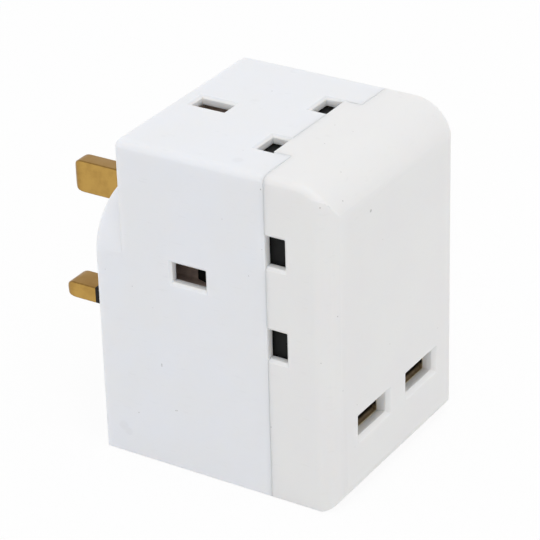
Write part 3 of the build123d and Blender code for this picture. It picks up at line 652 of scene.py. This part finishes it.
def mains_pin(name, piece_name, sleeve=None):
    """A pin with crisp long edges and a rounded tip, in place of the plain one."""
    low, high = box_of(name)
    middle = (low + high) / 2
    head_wide, head_tall = (high.x - low.x) / 2, (high.z - low.z) / 2
    wide, tall = head_wide - PIN_HEAD_MARGIN, head_tall - PIN_HEAD_MARGIN
    root = low.y + PIN_HEAD_DEPTH
    stations = [(low.y, head_wide, head_tall), (root, head_wide, head_tall)]
    if sleeve:
        neck_end = box_of(sleeve)[1].y
        stations += [(y, wide - PIN_NECK, tall - PIN_NECK) for y in (root, neck_end)]
        stations.append((neck_end, wide, tall))
    else:
        stations.append((root, wide, tall))
    for step in range(PIN_TIP_STEPS + 1):
        turn = math.pi / 2 * step / PIN_TIP_STEPS
        y = high.y - PIN_TIP + PIN_TIP * math.sin(turn)
        narrowed = max(0.0, y - (high.y - PIN_TIP_BEVEL))
        stations.append((y, wide - narrowed, tall - PIN_TIP_DROP * (1 - math.cos(turn))))
    shape = bmesh.new()
    rings = [pin_ring(shape, middle, half_x, half_z, y) for y, half_x, half_z in stations]
    skinned(shape, rings)
    shape.faces.new(rings[0])
    shape.faces.new(rings[-1])
    in_metres(shape)
    piece = piece_of(shape, piece_name, pin_brass_with_painted_shade(name + "_brass", name))
    flat_faces_first(piece)
    stands_for(piece, name)


mains_pin("earth_pin", "earth_pin_crisp")
mains_pin("live_pin", "live_pin_crisp", "live_pin_sleeve")
mains_pin("neutral_pin", "neutral_pin_crisp", "neutral_pin_sleeve")


# ---------------------------------------------------------------- shutter springs

def shutter_spring(side):
    """A side's shutter spring, as a copy of its node shown on the adaptor's body."""
    name = side + "_shutter_spring"
    piece = bpy.data.objects.new(name + "_pressed", frame["nodes"][name].data.copy())
    scene.collection.objects.link(piece)
    stands_for(piece, name)
    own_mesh(piece)


for side_name in ("left", "right", "top"):
    shutter_spring(side_name)


# ---------------------------------------------------------------- USB shells

# Steps of a shell as (inset from its outside, depth behind its front, how far its floor flares
# down), in millimetres: its outside, a sunk ledge, a rolled lip, and its inside
SHELL_STEPS = [
    (0.0, 13.6, 0.0), (0.0, 1.0, 0.0), (0.0, 0.7, SHELL_FLARE), (0.0, 0.35, SHELL_FLARE),
    (0.15, 0.35, SHELL_FLARE), (0.155, 0.02, SHELL_FLARE), (0.17, 0.0, SHELL_FLARE),
    (0.28, 0.0, SHELL_FLARE), (0.30, 0.02, SHELL_FLARE), (0.30, 0.12, SHELL_FLARE),
    (0.30, 0.7, SHELL_FLARE), (0.30, 1.0, 0.0), (0.30, 11.9, 0.0),
]
SHELL_WALL = SHELL_STEPS[-1][0]


def rectangle_ring(shape, low, high, inset, depth, flare):
    """The corners of a shell's section, each cut off by two points."""
    left, right = low.x + inset, high.x - inset
    bottom, top = low.z + inset - flare, high.z - inset
    cut = max(SHELL_CORNER - inset, SHELL_CORNER * 0.4)
    y = low.y + depth
    places = [
        (left + cut, bottom), (right - cut, bottom), (right, bottom + cut), (right, top - cut),
        (right - cut, top), (left + cut, top), (left, top - cut), (left, bottom + cut),
    ]
    return [shape.verts.new((x, y, z)) for x, z in places]


def spring_leaf(shape, start, across, rise):
    """A stamped spring of a shell's wall: a narrow leaf that bows inwards and back again."""
    along = Vector((0.0, LEAF_LONG, 0.0))
    rows = []
    for step in range(LEAF_ROWS + 1):
        share = step / LEAF_ROWS
        lift = rise * math.sin(math.pi * min(share * LEAF_BOW, 1.0))
        centre = start + along * share + lift
        rows.append([shape.verts.new(centre + across * half) for half in (-0.5, 0.5)])
    for first, second in zip(rows, rows[1:]):
        shape.faces.new((first[0], first[1], second[1], second[0]))


def usb_shell(name, piece_name):
    """A USB shell with a rolled lip and its stamped springs, in place of the plain tube."""
    low, high = box_of(name)
    middle = (low + high) / 2
    shape = bmesh.new()
    rings = [rectangle_ring(shape, low, high, *step) for step in SHELL_STEPS]
    skinned(shape, rings + rings[:1])
    for side in (-1, 1):
        edge = high.x - SHELL_WALL if side > 0 else low.x + SHELL_WALL
        start = Vector((edge, low.y + SIDE_LEAF_START, middle.z))
        across, rise = Vector((0.0, 0.0, LEAF_HIGH)), Vector((-side * LEAF_RISE, 0.0, 0.0))
        spring_leaf(shape, start, across, rise)
        for height, lift in ((low.z + SHELL_WALL, LEAF_RISE), (high.z - SHELL_WALL, -LEAF_RISE)):
            start = Vector((middle.x + side * LEAF_GAP, low.y + FLOOR_LEAF_START, height))
            across = Vector((LEAF_HIGH * FLOOR_LEAF_WIDENING, 0.0, 0.0))
            spring_leaf(shape, start, across, Vector((0.0, 0.0, lift)))
    in_metres(shape)
    piece = piece_of(shape, piece_name, finishes[slot_of_node[name]])
    stands_for(piece, name)


usb_shell("left_usb_shell", "left_usb_shell_rolled")
usb_shell("right_usb_shell", "right_usb_shell_rolled")


# ---------------------------------------------------------------- floor, background and lights

FLOOR_REACH = 3.0
FLOOR_SEEN_WHITE = 0.9
DOME_STRENGTH = 0.857
KEY_PLACE = (-0.27, -0.24, 1.05)
KEY_TARGET = (0.0, 0.0, 0.04)
KEY_SIZE = (0.5, 0.5)
KEY_WATTS = 1.55
WHITE = (1.0, 1.0, 1.0, 1.0)


def floor_finish():
    """A pale floor that the camera sees as white, apart from the shadow on it."""
    made = new_finish("pale_floor")
    mottle = made.spread(made.noise(made.place(), size=30.0, detail=3.0), 0.3, 0.7)
    tone = made.mix(mottle * 0.3, PALE_FLOOR, PALE_FLOOR_MOTTLE)
    lit = made.node("BsdfDiffuse", {}, {"Color": tone, "Roughness": 0.6}).out()
    white = made.node("Emission", {}, {"Color": WHITE, "Strength": 1.0}).out()
    share = made.seen_directly() * FLOOR_SEEN_WHITE
    return made.ended(made.node("MixShader", {}, {0: share, 1: lit, 2: white}).out())


def studio_world():
    """An even white dome that lights the object, behind a background seen as plain white."""
    made = Finish(bpy.data.worlds.new("studio"))
    seen = made.seen_directly()
    dome = made.node("Background", {}, {"Color": WHITE, "Strength": DOME_STRENGTH}).out()
    white = made.node("Background", {}, {"Color": WHITE, "Strength": 1.0}).out()
    sky = made.node("MixShader", {}, {0: seen, 1: dome, 2: white}).out()
    return made.ended(sky, "OutputWorld")


floor_mesh = bpy.data.meshes.new("floor")
corners = [(x * FLOOR_REACH, y * FLOOR_REACH, 0) for x, y in ((-1, -1), (1, -1), (1, 1), (-1, 1))]
floor_mesh.from_pydata(corners, [], [(0, 1, 2, 3)])
floor = bpy.data.objects.new("floor", floor_mesh)
scene.collection.objects.link(floor)
floor_mesh.materials.append(floor_finish())

scene.world = studio_world()

lamp = bpy.data.lights.new("key_softbox", "AREA")
lamp.shape = "RECTANGLE"
lamp.size, lamp.size_y = KEY_SIZE
lamp.energy = KEY_WATTS
lamp_holder = bpy.data.objects.new("key_softbox", lamp)
lamp_holder.location = KEY_PLACE
lamp_holder.rotation_mode = "QUATERNION"
aim = Vector(KEY_TARGET) - Vector(KEY_PLACE)
lamp_holder.rotation_quaternion = aim.to_track_quat("-Z", "Y")
scene.collection.objects.link(lamp_holder)


# ---------------------------------------------------------------- camera

CAMERA_PLACE = (-0.43297, -0.27020, 0.31062)
CAMERA_AZIMUTH, CAMERA_ELEVATION, CAMERA_ROLL = -57.55, 27.78, -1.64
SENSOR_WIDTH = 36.0
LENS = 173.9


def axes_of_view(azimuth, elevation, roll):
    """The camera's right, up and backward directions for angles in degrees."""
    turn, lift, tilt = (math.radians(angle) for angle in (azimuth, elevation, roll))
    flat = math.cos(lift)
    back = Vector((math.sin(turn) * flat, -math.cos(turn) * flat, math.sin(lift)))
    level = Vector((math.cos(turn), math.sin(turn), 0.0))
    upright = back.cross(level)
    right = math.cos(tilt) * level + math.sin(tilt) * upright
    up = -math.sin(tilt) * level + math.cos(tilt) * upright
    return right, up, back


view = Matrix(axes_of_view(CAMERA_AZIMUTH, CAMERA_ELEVATION, CAMERA_ROLL)).transposed()
camera_data = bpy.data.cameras.new("camera")
camera_data.sensor_width = SENSOR_WIDTH
camera_data.lens = LENS
camera_data.clip_start, camera_data.clip_end = 0.01, 20.0
camera = bpy.data.objects.new("camera", camera_data)
camera.rotation_mode = "QUATERNION"
camera.location = CAMERA_PLACE
camera.rotation_quaternion = view.to_quaternion()
scene.collection.objects.link(camera)
scene.camera = camera

scene.view_settings.view_transform = "Standard"
